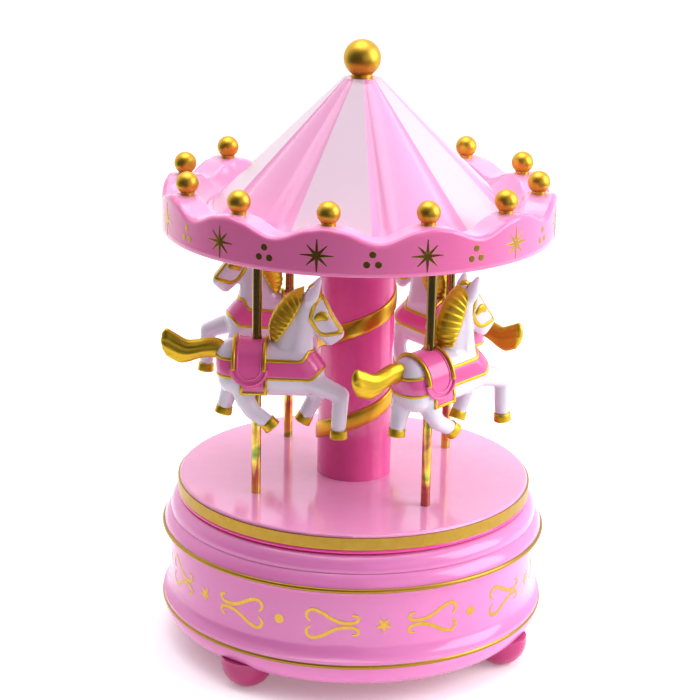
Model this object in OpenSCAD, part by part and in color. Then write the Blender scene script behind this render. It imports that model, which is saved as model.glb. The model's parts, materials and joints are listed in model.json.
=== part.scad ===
// Carousel music box, modelled in millimetres. +Z is up, -Y is the front, and the origin is
// the centre of the floor rectangle under the feet. Each sub-part is one module.

/* [Base] */
// Overall height from the floor to the top of the finial ball
total_h = 180; // [150:1:210]
// Outer radius of the lower gold trim ring, the widest circle of the base
base_r = 57.3; // [50:0.1:65]
// Radius of the base drum between the two trim rings
drum_r = 54.6; // [48:0.1:62]
// Height of the flat top of the base
base_top = 45.2; // [38:0.1:52]
// Underside of the base above the floor
base_bottom = 5.5; // [4:0.1:9]
// Radius of the circle the feet stand on
foot_ring = 50; // [40:0.5:52]
// Radius of one bowl-shaped foot
foot_r = 7.6; // [5:0.1:8.5]

/* [Turntable] */
// Radius of the gold band round the deck
deck_r = 52.5; // [46:0.1:58]
// Top face of the deck
deck_top = 51; // [46:0.1:58]
// Outer radius of the centre column
column_r = 11; // [8:0.1:16]
// Vertical height of the gold ribbon wound round the column
ribbon_h = 5.2; // [3:0.1:8]
// Rise of the ribbon in one turn
ribbon_pitch = 28; // [18:0.5:40]
// Radius of one horse pole
pole_r = 1.35; // [1:0.05:2]
// Radius of the circle the poles stand on
pole_ring = 35; // [30:0.5:42]

/* [Canopy] */
// Outer radius of the canopy valance
canopy_r = 56.7; // [50:0.1:62]
// Lower edge of the valance
canopy_bottom = 125.7; // [115:0.1:135]
// Crest height of the scalloped rim
crest_top = 138.1; // [130:0.1:145]
// Depth of one scallop below the crest
scallop_depth = 3.2; // [1:0.1:4.5]
// Number of scallops, with one ball on each crest
scallops = 12; // [8:1:16]
// Radius of one rim ball
rim_ball_r = 3.2; // [2:0.1:4]
// Radius of the finial ball
finial_r = 5.33; // [4:0.1:7]

/* [Horses] */
// Heading of the front left horse about its pole, counted from +X
yaw_1 = -3; // [-100:1:10]
// Heading of the front right horse
yaw_2 = 40; // [5:1:80]
// Heading of the back right horse
yaw_3 = 137; // [80:1:141]
// Heading of the back left horse
yaw_4 = 188; // [156:1:192]
// Radial clearance of a horse on its pole
pole_play = 0.08; // [0.03:0.01:0.1]

/* [Movement] */
// Teeth of the crown gear on the spring barrel
crown_teeth = 48; // [48:12:48]
// Teeth of the pinion on the pinned cylinder
pinion_teeth = 12; // [12:1:12]
// Notes of the comb
notes = 18; // [12:1:22]
// Radius of the pinned cylinder
cylinder_r = 6.5; // [5:0.1:7]

/* [Hidden] */
$fa = 4;
$fs = 0.4;
rim_phase = -8.95;
pole_phase = -53.67;
foot_angles = [-36, 63, 144, 243];
horse_yaw = [yaw_1, yaw_2, yaw_3, yaw_4];
horse_pitch = [0, 6, 6, 5];
apex_z = 174.4;
axle_z = 31.2625;
pitch_r = 12.25;
mate_r = pitch_r * pinion_teeth / crown_teeth;
fan_y = -12;

pink = [0.93, 0.45, 0.76];
hot_pink = [0.86, 0.26, 0.60];
pale = [0.93, 0.85, 0.92];
gold = [0.76, 0.58, 0.16];
brass = [0.72, 0.58, 0.28];
steel = [0.72, 0.73, 0.75];
dark = [0.30, 0.30, 0.32];

// A point on a circle of radius r at compass angle a, where 0 faces the front.
function ring_pt(r, a) = [r * sin(a), -r * cos(a), 0];
function pole_pt(k) = ring_pt(pole_ring, pole_phase + 90 * (k - 1));

// ---- base -------------------------------------------------------------------------------

// Half section of the base as one filled outline: rounded skirt, flared drum, two-step shoulder.
module base_outline() {
    difference() {
        union() {
            translate([0, base_bottom]) square([49.5, 8]);
            intersection() {
                translate([49.5, 13]) circle(r = 7.5);
                translate([49, base_bottom]) square([9, 7.5]);
            }
            translate([0, 12.9]) square([57, 6.1]);
            translate([0, 18.9]) square([drum_r, 15.4]);
            translate([0, 34.2]) square([56.6, 1.9]);
            intersection() {
                translate([51.3, 36]) circle(r = 5.3);
                translate([49, 36]) square([9, 4.6]);
            }
            translate([0, 36]) square([51.3, 4.6]);
            intersection() {
                translate([50.4, 41]) circle(r = 4.2);
                translate([50.3, 40.5]) square([5, base_top - 40.5]);
            }
            translate([0, 40.5]) square([50.4, base_top - 40.5]);
        }
        translate([59.6, 19]) circle(r = 5);
        translate([56.5, 34.2]) circle(r = 0.8);
    }
}

screw_angles = [43, 163, 283];

// Moulded shell: open below, with three screw bosses hanging from its roof.
module base_shell() color(pink) {
    difference() {
        rotate_extrude() base_outline();
        translate([0, 0, base_bottom - 1]) cylinder(r = 51.2, h = 35);
        translate([0, 0, 38]) cylinder(r = 49.6, h = 4.6);
        cylinder(r = 5.05, h = 60);
    }
    for (a = screw_angles) translate(ring_pt(46, a)) translate([0, 0, 8]) difference() {
        cylinder(r = 3.2, h = 35);
        cylinder(r = 1.3, h = 6);
    }
}

// Each trim ring is a half-round bead seated on the shell's outer wall.
module upper_trim_ring() color(gold) rotate_extrude() intersection() {
    translate([56.45, 36.1]) circle(r = 0.72);
    translate([56.6, 35]) square([2, 3]);
}

module lower_trim_ring() color(gold) rotate_extrude() intersection() {
    translate([base_r - 0.75, 13.2]) circle(r = 0.75);
    translate([57, 12]) square([2, 3]);
}

module bottom_plate() color(hot_pink) difference() {
    union() {
        translate([0, 0, base_bottom]) cylinder(r = 51, h = 2.5);
        translate([0, 0, base_bottom]) cylinder(r = 17, h = 9.5);
        for (p = post_pts) translate([p[0], p[1], base_bottom]) cylinder(r = 2.6, h = 10.5);
    }
    translate([0, 0, base_bottom - 1]) cylinder(r = 15, h = 8.5);
    cylinder(r = 2.06, h = 30);
    for (p = post_pts) translate([p[0], p[1], 9]) cylinder(r = 1.2, h = 10);
    for (a = screw_angles) translate(ring_pt(46, a)) translate([0, 0, 4]) cylinder(r = 1.3, h = 6);
    for (a = screw_angles) translate(ring_pt(46, a)) translate([0, 0, 5]) cylinder(r = 2.4, h = 1.6);
}
post_pts = [[-15, -13], [-15, 16], [40, -15], [41, 12]];

// Three screws let into the bottom plate; each turns into a boss of the shell.
module bottom_screws() color(steel) for (a = screw_angles) translate(ring_pt(46, a)) {
    difference() {
        union() {
            translate([0, 0, 5.6]) cylinder(r = 2.3, h = 1);
            translate([0, 0, 6.6]) cylinder(r = 1.3, h = 3.4);
        }
        translate([-1.5, -0.25, 5]) cube([3, 0.5, 1]);
    }
}

// A bowl foot, cut to the skirt it is glued against.
module foot(k) color(hot_pink) difference() {
    intersection() {
        translate(ring_pt(foot_ring, foot_angles[k - 1])) translate([0, 0, foot_r - 0.7]) sphere(r = foot_r);
        translate([-70, -70, 0]) cube([140, 140, 8.6]);
    }
    rotate_extrude() base_outline();
    translate([0, 0, base_bottom]) cylinder(r = 51, h = 2.5);
}

// ---- movement ---------------------------------------------------------------------------

module movement_bedplate() color(brass) difference() {
    union() {
        translate([-19, -18, 16]) cube([62.5, 42.5, 1.5]);
        translate([17.5, 18.5, 17.5]) cube([20, 6, 13.2]);
    }
    cylinder(r = 2.6, h = 40);
    for (p = post_pts) translate([p[0], p[1], 10]) cylinder(r = 1.2, h = 12);
    for (x = [20.5, 27.5, 34.5]) translate([x, 21.5, 26]) cylinder(r = 0.8, h = 8);
}

module pan_screw(r, h, rs, l) {
    difference() {
        cylinder(r = r, h = h);
        translate([-r, -0.22, h - 0.5]) cube([2 * r, 0.44, 1]);
    }
    translate([0, 0, -l]) cylinder(r = rs, h = l + 0.01);
}

module movement_screws() color(steel) {
    for (p = post_pts) translate([p[0], p[1], 17.5]) pan_screw(2.2, 1.2, 1.2, 8);
    for (x = [20.5, 27.5, 34.5]) translate([x, 21.5, 31.6]) pan_screw(1.6, 1, 0.8, 5);
}

// Steel comb: a thick root plate and one tooth per note, shorter towards the treble end.
module comb() color(steel) {
    difference() {
        translate([17.5, 17.2, 30.7]) cube([20, 7.3, 0.9]);
        for (x = [20.5, 27.5, 34.5]) translate([x, 21.5, 30]) cylinder(r = 0.82, h = 3);
    }
    difference() {
        translate([17.8, 7.35, 31]) cube([19.4, 10, 0.5]);
        for (i = [1 : notes - 1]) translate([17.8 + i * 19.4 / notes - 0.14, 7, 30])
            cube([0.28, 9.4 - i * 0.12, 3]);
    }
}

module movement_bracket() color(brass) difference() {
    union() {
        translate([15.2, -16, 17.5]) cube([28, 20, 1]);
        translate([15.2, -3, 17.5]) cube([1.2, 6, 17]);
        translate([41.5, -15, 17.5]) cube([1.5, 18, 17]);
        translate([27.2, -15, 17.5]) cube([1.2, 6, 16.5]);
    }
    translate([0, 0, axle_z]) rotate([0, 90, 0]) cylinder(r = 1.05, h = 60);
    translate([20, fan_y, axle_z]) rotate([0, 90, 0]) cylinder(r = 0.75, h = 40);
    translate([40, -15, 17]) cylinder(r = 2.6, h = 3);
}

module shaft_bush() color(brass) difference() {
    union() {
        translate([0, 0, 42.6]) cylinder(r = 5.05, h = base_top - 42.6);
        translate([0, 0, 41.2]) cylinder(r = 7.5, h = 1.4);
    }
    cylinder(r = 2.55, h = 60);
}

// Butterfly key: a hub on the arbor and two flat wings with an eye in each.
module winding_key() color(steel) difference() {
    union() {
        translate([0, 0, 2]) cylinder(r = 3.4, h = 10.2);
        for (s = [-1, 1]) translate([s * 8, 1.2, 6.6]) rotate([90, 0, 0]) cylinder(r = 4.6, h = 2.4);
        translate([-8, -1.2, 3.6]) cube([16, 2.4, 6]);
    }
    for (s = [-1, 1]) translate([s * 8.6, 3, 6.6]) rotate([90, 0, 0]) cylinder(r = 2, h = 6);
    translate([0, 0, 4]) cylinder(r = 2, h = 20);
}

module key_arbor() color(steel) difference() {
    translate([0, 0, 4]) cylinder(r = 2, h = 21.8);
    translate([1.6, -0.5, 19]) cube([2, 1, 6]);
}

// ---- turntable --------------------------------------------------------------------------

// Spring barrel with the crown gear that drives the pinned cylinder on its upper rim.
module spring_barrel() color(brass) {
    difference() {
        translate([0, 0, 18.6]) cylinder(r = 13.5, h = 9);
        translate([0, 0, 19.8]) cylinder(r = 12.3, h = 6.2);
        cylinder(r = 2.08, h = 26.5);
        translate([0, 0, 27.2]) cylinder(r = 11, h = 3);
    }
    for (k = [0 : crown_teeth - 1]) rotate([0, 0, (k + 0.5) * 360 / crown_teeth])
        translate([11.1, -0.27, 27.5]) cube([2.3, 0.54, 1.05]);
}

function spiral(t, o) = [(3.2 + o + 8.4 * t) * cos(1800 * t), (3.2 + o + 8.4 * t) * sin(1800 * t)];
module mainspring() color(dark) translate([0, 0, 20.2]) linear_extrude(5.4)
    polygon(concat([for (i = [0 : 90]) spiral(i / 90, 0)], [for (i = [90 : -1 : 0]) spiral(i / 90, 0.45)]));

module drive_shaft() color(steel) {
    translate([0, 0, 27.2]) cylinder(r = 6, h = 1.2);
    translate([0, 0, 28.4]) cylinder(r = 2.5, h = 20.2);
}

module drive_hub() color(brass) difference() {
    translate([0, 0, 46]) cylinder(r = 9, h = 2.6);
    translate([0, 0, 40]) cylinder(r = 2.5, h = 20);
    for (a = [30, 150, 270]) rotate([0, 0, a]) translate([6.4, 0, 40]) cylinder(r = 1.2, h = 12);
}

module deck() color([0.94, 0.66, 0.84]) difference() {
    rotate_extrude() difference() {
        union() {
            translate([0, 46.6]) square([52, 3.6]);
            translate([0, 50]) square([51.2, 1]);
            translate([51.2, 50.2]) circle(r = 0.8);
        }
        translate([9, 46]) square([41, 2.6]);
        translate([0, 46]) square([9.1, 2.6]);
    }
    for (a = [30, 150, 270]) rotate([0, 0, a]) translate([6.4, 0, 40]) cylinder(r = 1.22, h = 20);
    for (k = [1 : 4]) translate(pole_pt(k)) cylinder(r = pole_r + 0.02, h = 60);
}

module deck_rim_band() color(gold) translate([0, 0, 46.6]) difference() {
    cylinder(r = deck_r, h = 3.5);
    translate([0, 0, -1]) cylinder(r = 52, h = 8);
}

module deck_screws() color(steel) for (a = [30, 150, 270]) rotate([0, 0, a]) translate([6.4, 0, 45.4]) {
    difference() {
        cylinder(r = 1.9, h = 0.6);
        translate([-2, -0.2, -0.1]) cube([4, 0.4, 0.3]);
    }
    cylinder(r = 1.2, h = 7.6);
}

module centre_column() color(hot_pink) difference() {
    translate([0, 0, deck_top]) cylinder(r = column_r, h = 127.2 - deck_top);
    translate([0, 0, deck_top + 2.6]) cylinder(r = column_r - 1.8, h = 90);
    for (a = [30, 150, 270]) rotate([0, 0, a]) translate([6.4, 0, 50]) cylinder(r = 1.2, h = 6);
}

// Gold ribbon: a raised band wound round the column, built as stacked quads along the helix.
ribbon_steps = 66;
ribbon_from = -246;
ribbon_to = 540;
function ribbon_pt(i, r, dz) = let (a = ribbon_from + (ribbon_to - ribbon_from) * i / ribbon_steps)
    [r * sin(a), -r * cos(a), max(deck_top + 0.05, 70.3 + ribbon_pitch * a / 360 + dz)];
module column_ribbon() color(gold) {
    ri = column_r / cos((ribbon_to - ribbon_from) / ribbon_steps / 2) + 0.02;
    pts = [for (i = [0 : ribbon_steps]) each [ribbon_pt(i, ri, -ribbon_h / 2),
        ribbon_pt(i, ri + 0.55, -ribbon_h / 2), ribbon_pt(i, ri + 0.55, ribbon_h / 2),
        ribbon_pt(i, ri, ribbon_h / 2)]];
    sides = [for (i = [0 : ribbon_steps - 1]) for (j = [0 : 3]) let (a = 4 * i + j, b = 4 * i + (j + 1) % 4)
        each [[a, a + 4, b + 4], [a, b + 4, b]]];
    n = 4 * ribbon_steps;
    polyhedron(points = pts, faces = concat(sides, [[0, 1, 2, 3], [n + 3, n + 2, n + 1, n]]));
}

module pole(k) color(gold) translate(pole_pt(k)) translate([0, 0, 48.6]) cylinder(r = pole_r, h = 80.2);

module rim_ball_holes(r, z, h) for (k = [1 : scallops])
    translate(ring_pt(51.4, rim_phase + k * 360 / scallops)) translate([0, 0, z]) cylinder(r = r, h = h);

// Half section of the canopy: valance, solid crest, trough and a straight cone.
module canopy_outline() polygon([[54.9, canopy_bottom], [canopy_r, canopy_bottom],
    [canopy_r, crest_top - 0.9], [canopy_r - 0.9, crest_top], [48.6, crest_top], [46.9, 136.4],
    [44.3, 131.6], [42.9, apex_z - 42.9], [5.2, 169.2], [1.6, 169.2], [1.6, 166.4], [5.4, 166.4],
    [42.6, 129.2], [45, 129.2], [46.9, 133.2], [54.9, 133.2]]);

module canopy() color(pink) difference() {
    rotate_extrude() canopy_outline();
    for (k = [1 : scallops]) rotate([0, 0, rim_phase + (k + 0.5) * 360 / scallops])
        translate([0, -70, crest_top - scallop_depth + 19.8]) rotate([-90, 0, 0]) cylinder(r = 19.8, h = 30);
    rim_ball_holes(1.5, 136.3, 3);
}

module canopy_ceiling() color(pale) difference() {
    translate([0, 0, 127.2]) cylinder(r = 54.8, h = 2);
    cylinder(r = 1.6, h = 200);
    for (k = [1 : 4]) translate(pole_pt(k)) cylinder(r = pole_r + 0.02, h = 200);
}

module tie_rod() color(steel) {
    translate([0, 0, 53.6]) cylinder(r = 4.2, h = 2.2);
    translate([0, 0, 55.8]) cylinder(r = 1.5, h = 117.2);
}

module finial_ball() color(gold) difference() {
    union() {
        translate([0, 0, total_h - finial_r]) sphere(r = finial_r);
        translate([0, 0, 169.2]) cylinder(r = 3, h = 1.4);
    }
    translate([0, 0, 160]) cylinder(r = 10, h = 9.2);
    translate([0, 0, 160]) cylinder(r = 1.5, h = 13);
}

module rim_ball(k) color(gold) translate(ring_pt(51.4, rim_phase + k * 360 / scallops)) {
    translate([0, 0, 141.75]) sphere(r = rim_ball_r);
    translate([0, 0, crest_top]) cylinder(r = 2, h = 1.6);
    translate([0, 0, 136.4]) cylinder(r = 1.45, h = 3);
}

// ---- pinned cylinder and governor -------------------------------------------------------

// Straight trapezoid teeth round a disc, tooth 0 pointing along the angle start.
module toothed_disc(n, rp, add, ded, tk, tip, start) {
    circle(r = rp - ded);
    for (k = [0 : n - 1]) rotate(start + k * 360 / n) polygon([[rp - ded - 0.2, -tk * 0.6],
        [rp, -tk / 2], [rp + add, -tip / 2], [rp + add, tip / 2], [rp, tk / 2], [rp - ded - 0.2, tk * 0.6]]);
}

module along_x(x, y) translate([x, y, axle_z]) rotate([90, 0, 90]) children();

module cylinder_arbor() color(steel) {
    along_x(9.6, 0) cylinder(r = 1, h = 34.4);
    along_x(11.2, 0) linear_extrude(2.1) toothed_disc(pinion_teeth, mate_r, 0.35, 0.6, 0.54, 0.36, -90);
}

// Brass cylinder with one short pin for each beat of the tune, a few rows per note.
module music_cylinder() color(brass) {
    along_x(17.6, 0) difference() {
        cylinder(r = cylinder_r, h = 19.8);
        translate([0, 0, -1]) cylinder(r = 1, h = 30);
    }
    for (i = [0 : notes - 1]) for (j = [0 : 2])
        along_x(17.8 + (i + 0.5) * 19.4 / notes, 0) rotate([0, 0, (i * 97 + j * 121) % 360 + 4])
            translate([cylinder_r - 0.3, -0.16, -0.16]) cube([0.72, 0.32, 0.32]);
}

module cylinder_gear() color(brass) along_x(38.8, 0) linear_extrude(1.6) difference() {
    toothed_disc(48, 9.6, 0.25, 0.45, 0.5, 0.34, 180 + 3.75);
    circle(r = 1);
}

module governor_arbor() color(steel) {
    along_x(26.6, fan_y) cylinder(r = 0.7, h = 17);
    along_x(38.7, fan_y) linear_extrude(1.8) toothed_disc(12, 2.4, 0.25, 0.45, 0.48, 0.32, 0);
}

module governor_fan() color(gold) along_x(30, fan_y) difference() {
    union() {
        cylinder(r = 1.4, h = 7);
        for (a = [0, 90]) rotate([0, 0, a + 45]) translate([-4.4, -0.25, 0.4]) cube([8.8, 0.5, 6.2]);
    }
    translate([0, 0, -1]) cylinder(r = 0.7, h = 10);
}

// ---- horses -----------------------------------------------------------------------------

module ball(x, y, z, r) translate([x, y, z]) sphere(r = r, $fn = 16);
module link(a, b) hull() {
    ball(a[0], a[1], a[2], a[3]);
    ball(b[0], b[1], b[2], b[3]);
}

// Barrel of the horse, grown by g all round.
module torso(g) hull() {
    translate([-5.9, 0, 90.2]) sphere(r = 6.1 + g, $fn = 24);
    translate([-5.4, 0, 87.8]) sphere(r = 5.7 + g, $fn = 24);
    translate([13.6, 0, 88.6]) sphere(r = 6.2 + g, $fn = 24);
    translate([12, 0, 90.8]) sphere(r = 5.8 + g, $fn = 24);
}

module horse_solid() {
    torso(0);
    link([11.5, 0, 93.5, 5], [12.4, 0, 101, 3.9]);
    link([12.4, 0, 101, 3.9], [14.3, 0, 108, 3.2]);
    hull() {
        ball(14.8, 0, 108.6, 3.1);
        ball(18.6, 0, 105.4, 2.9);
        ball(22.2, 0, 100.3, 2.3);
        ball(20.8, 0, 98.4, 2.2);
        ball(16, 0, 103.6, 2.5);
    }
    for (s = [-1, 1]) link([15.4, s * 1.8, 110.6, 1.3], [17.1, s * 2.3, 114.4, 0.4]);
    hull() {
        ball(8, 0, 98.6, 2.4);
        ball(7.2, 0, 102.5, 2.3);
        ball(9.4, 0, 107.4, 2.2);
        ball(12.6, 0, 110.8, 1.8);
        ball(12, 0, 100, 2.6);
    }
    link([-9.6, 0, 93.4, 2.3], [-15.5, 0, 95, 2.7]);
    link([-15.5, 0, 95, 2.7], [-20.4, 0, 93.8, 2.9]);
    link([-20.4, 0, 93.8, 2.9], [-24.2, 0, 95.2, 2.9]);
    link([15.8, -3.2, 86.4, 3.2], [24.6, -3.6, 83.2, 2.4]);
    link([24.6, -3.6, 83.2, 2.4], [23.9, -3.6, 71.6, 2.2]);
    link([15.8, 3.2, 86, 3.2], [16.4, 3.6, 79.4, 2.4]);
    link([16.4, 3.6, 79.4, 2.4], [13.9, 3.6, 73.2, 2.1]);
    link([-4.6, -3.2, 85.6, 3.4], [-1.4, -3.6, 79, 2.4]);
    link([-1.4, -3.6, 79, 2.4], [4.2, -3.6, 73, 2.2]);
    link([-6.6, 3.2, 85.6, 3.4], [-8.4, 3.6, 79.4, 2.4]);
    link([-8.4, 3.6, 79.4, 2.4], [-9.4, 3.6, 75.6, 2.1]);
}

// U-shaped saddle and girth: a skin 0.7 thick over the barrel, let into it by the amount of play.
module saddle_solid(play) difference() {
    intersection() {
        torso(0.7 + play);
        rotate([90, 0, 0]) linear_extrude(30, center = true) union() {
            translate([-1.4, 88.6]) circle(r = 5 + play);
            translate([-6.4 - play, 88.6]) square([10 + 2 * play, 12]);
            translate([-3.8 - play, 78]) square([8 + 2 * play, 10]);
        }
    }
    torso(0.04 - play);
}

module placed(k) translate(pole_pt(k)) rotate([0, 0, horse_yaw[k - 1]])
    translate([0, 0, 89]) rotate([0, -horse_pitch[k - 1], 0]) translate([0, 0, -89]) children();

module pole_bore(k) translate(pole_pt(k)) translate([0, 0, 60])
    cylinder(r = pole_r + pole_play, h = 60, $fn = 48);

module horse(k) color(pale) difference() {
    placed(k) horse_solid();
    placed(k) saddle_solid(0.02);
    pole_bore(k);
}

module saddle(k) color(pink) difference() {
    placed(k) saddle_solid(0);
    pole_bore(k);
}

// ---- selection --------------------------------------------------------------------------

base_shell();
upper_trim_ring();
lower_trim_ring();
bottom_plate();
bottom_screws();
foot(1);  // foot_1
foot(2);  // foot_2
foot(3);  // foot_3
foot(4);  // foot_4
movement_bedplate();
movement_screws();
comb();
movement_bracket();
shaft_bush();
winding_key();
key_arbor();
deck();
deck_rim_band();
deck_screws();
centre_column();
column_ribbon();
drive_hub();
drive_shaft();
spring_barrel();
mainspring();
canopy();
canopy_ceiling();
tie_rod();
finial_ball();
rim_ball(1);  // rim_ball_1
rim_ball(2);  // rim_ball_2
rim_ball(3);  // rim_ball_3
rim_ball(4);  // rim_ball_4
rim_ball(5);  // rim_ball_5
rim_ball(6);  // rim_ball_6
rim_ball(7);  // rim_ball_7
rim_ball(8);  // rim_ball_8
rim_ball(9);  // rim_ball_9
rim_ball(10);  // rim_ball_10
rim_ball(11);  // rim_ball_11
rim_ball(12);  // rim_ball_12
pole(1);  // pole_1
pole(2);  // pole_2
pole(3);  // pole_3
pole(4);  // pole_4
cylinder_arbor();
music_cylinder();
cylinder_gear();
governor_arbor();
governor_fan();
horse(1);  // horse_1
horse(2);  // horse_2
horse(3);  // horse_3
horse(4);  // horse_4
saddle(1);  // saddle_1
saddle(2);  // saddle_2
saddle(3);  // saddle_3
saddle(4);  // saddle_4
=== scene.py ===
# %% [markdown]
# # Carousel music box
# A wind-up toy: a pink drum with a music movement inside, and on it a turning deck with a column,
# four horses on poles and a peaked canopy. The solids come from the engineering model, which is
# loaded first and stays where it is. Everything made here is placed from that model's own boxes,
# so that no piece has to be fitted by eye.

# %% Load the frame
import json
import math
import bpy
import bmesh
import numpy as np
from mathutils import Matrix, Vector
from mathutils.bvhtree import BVHTree

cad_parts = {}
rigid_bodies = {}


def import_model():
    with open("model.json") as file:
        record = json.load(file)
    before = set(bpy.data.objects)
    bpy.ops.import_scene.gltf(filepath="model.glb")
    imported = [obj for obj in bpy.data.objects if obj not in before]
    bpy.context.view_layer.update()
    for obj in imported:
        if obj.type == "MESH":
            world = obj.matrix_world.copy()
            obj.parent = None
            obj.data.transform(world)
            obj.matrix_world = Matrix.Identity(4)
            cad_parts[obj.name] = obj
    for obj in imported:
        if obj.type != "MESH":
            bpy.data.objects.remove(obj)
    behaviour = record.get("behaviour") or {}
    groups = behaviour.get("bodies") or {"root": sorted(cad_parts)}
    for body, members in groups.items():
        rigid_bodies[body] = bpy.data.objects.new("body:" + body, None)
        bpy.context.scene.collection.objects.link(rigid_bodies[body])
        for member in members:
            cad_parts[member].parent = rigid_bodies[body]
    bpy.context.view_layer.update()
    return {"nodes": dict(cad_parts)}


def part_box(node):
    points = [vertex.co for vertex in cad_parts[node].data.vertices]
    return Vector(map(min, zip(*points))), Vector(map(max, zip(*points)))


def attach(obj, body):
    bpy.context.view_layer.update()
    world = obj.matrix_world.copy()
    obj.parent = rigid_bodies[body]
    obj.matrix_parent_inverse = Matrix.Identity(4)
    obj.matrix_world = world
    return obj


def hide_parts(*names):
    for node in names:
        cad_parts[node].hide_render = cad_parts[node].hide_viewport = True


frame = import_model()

MM = 0.001
nodes = frame["nodes"]

# %% [markdown]
# The measures below are read back from the frame: the radius of the canopy, the column and the
# height of the deck; the drum's radius is given. Compass angles run from the front (0) towards the right (+).

# %% Sizes read from the frame
def size_of(node):
    lo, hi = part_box(node)
    return [h - l for l, h in zip(lo, hi)], lo, hi

CANOPY_R = size_of("canopy")[0][0] / 2
CANOPY_LOW = size_of("canopy")[1][2]
CREST = size_of("canopy")[1][2] + 12.4 * MM
COLUMN_R = size_of("centre_column")[0][0] / 2
DECK_TOP = size_of("deck")[2][2]
DRUM_R = 54.6 * MM
APEX = 174.4 * MM
RIM_PHASE = -8.95

def ring_point(radius, angle, z=0.0):
    a = math.radians(angle)
    return Vector((radius * math.sin(a), -radius * math.cos(a), z))

print("canopy radius %.1f mm, deck top %.1f mm" % (CANOPY_R / MM, DECK_TOP / MM))

# %% [markdown]
# Most pieces here are made of rows of points, like a net thrown over a form. One helper turns such
# a net into a mesh and can close it round in either direction. A second one parks the object on
# the body it moves with and hides the CAD node it stands for.

# %% Net and parking helpers
def net(rows, close_rows=False, close_cols=False, caps=False):
    """Vertices and quads of a net given as a list of equally long rows of points."""
    count, width = len(rows), len(rows[0])
    verts = [p for row in rows for p in row]
    faces = []
    for i in range(count if close_rows else count - 1):
        for j in range(width if close_cols else width - 1):
            a, b = i * width, ((i + 1) % count) * width
            k = (j + 1) % width
            faces.append((a + j, a + k, b + k, b + j))
    if caps:
        faces.append(tuple(reversed(range(width))))
        faces.append(tuple(range((count - 1) * width, count * width)))
    return verts, faces

def mesh_object(name, verts, faces, materials, smooth=True, pick=None):
    mesh = bpy.data.meshes.new(name)
    mesh.from_pydata([tuple(v) for v in verts], [], faces)
    for m in materials:
        mesh.materials.append(m)
    if pick:
        for f in mesh.polygons:
            f.material_index = pick(f)
    mesh.polygons.foreach_set("use_smooth", [smooth] * len(mesh.polygons))
    bm = bmesh.new()
    bm.from_mesh(mesh)
    bmesh.ops.recalc_face_normals(bm, faces=bm.faces)
    bm.to_mesh(mesh)
    bm.free()
    mesh.update()
    obj = bpy.data.objects.new(name, mesh)
    bpy.context.collection.objects.link(obj)
    return obj

def park(obj, body, slot, *replaced):
    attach(obj, body)
    if replaced:
        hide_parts(*replaced)
    print(obj.name, "rides on", body, "-", len(obj.data.vertices), "points")
    return obj

def several(parts):
    """Joins (verts, faces) pairs into one list of each, with a tag per face."""
    verts, faces, tags = [], [], []
    for v, f, tag in parts:
        base = len(verts)
        verts += list(v)
        faces += [tuple(base + i for i in face) for face in f]
        tags += [tag] * len(f)
    return verts, faces, tags

# %% [markdown]
# ## Finishes
# Real plastic is never one flat colour. A moulding has faint flow marks, its gloss wanders a
# little, and dust settles on what faces up. These three effects are used by many materials, so
# each is a small shader group with named inputs; the Principled shader itself stays in each
# material, where its constants are set directly.

# %% Group: flow marks of a moulding
def new_group(name, inputs, outputs):
    tree = bpy.data.node_groups.new(name, "ShaderNodeTree")
    for label, kind, value in inputs:
        s = tree.interface.new_socket(name=label, in_out="INPUT", socket_type=kind)
        if value is not None:
            s.default_value = value
    for label, kind in outputs:
        tree.interface.new_socket(name=label, in_out="OUTPUT", socket_type=kind)
    return tree, tree.nodes.new("NodeGroupInput"), tree.nodes.new("NodeGroupOutput")

def shader_node(tree, kind, settings=None, **values):
    n = tree.nodes.new(kind)
    for key, value in (settings or {}).items():
        setattr(n, key, value)
    for key, value in values.items():
        n.inputs[key.replace("_", " ")].default_value = value
    return n

F, V = "NodeSocketFloat", "NodeSocketVector"

flow, gi, go = new_group("moulding_flow",
    [("Vector", V, None), ("Scale", F, 40.0), ("Base Roughness", F, 0.2), ("Spread", F, 0.05)],
    [("Mottle", F), ("Roughness", F), ("Height", F)])
broad = shader_node(flow, "ShaderNodeTexNoise", Detail=3.0, Roughness=0.5)
fine = shader_node(flow, "ShaderNodeTexNoise", Detail=5.0, Roughness=0.6)
up = shader_node(flow, "ShaderNodeMath", {"operation": "MULTIPLY"})
up.inputs[1].default_value = 9.0
flow.links.new(gi.outputs["Vector"], broad.inputs["Vector"])
flow.links.new(gi.outputs["Vector"], fine.inputs["Vector"])
flow.links.new(gi.outputs["Scale"], broad.inputs["Scale"])
flow.links.new(gi.outputs["Scale"], up.inputs[0])
flow.links.new(up.outputs[0], fine.inputs["Scale"])
off = shader_node(flow, "ShaderNodeMath", {"operation": "SUBTRACT"}); off.inputs[1].default_value = 0.5
wander = shader_node(flow, "ShaderNodeMath", {"operation": "MULTIPLY_ADD"})
flow.links.new(fine.outputs["Fac"], off.inputs[0])
flow.links.new(off.outputs[0], wander.inputs[0])
flow.links.new(gi.outputs["Spread"], wander.inputs[1])
flow.links.new(gi.outputs["Base Roughness"], wander.inputs[2])
flow.links.new(broad.outputs["Fac"], go.inputs["Mottle"])
flow.links.new(wander.outputs[0], go.inputs["Roughness"])
flow.links.new(fine.outputs["Fac"], go.inputs["Height"])
print("group", flow.name, "outputs", [s.name for s in flow.interface.items_tree if s.in_out == "OUTPUT"])

# %% [markdown]
# Dust only lies where the surface faces up, so its mask is the height part of the surface normal
# times a patchy noise. Wear shows where an edge sticks out: the renderer's pointiness value is
# bright on ridges, and a noise breaks it up so that it never looks like a painted outline.

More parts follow.
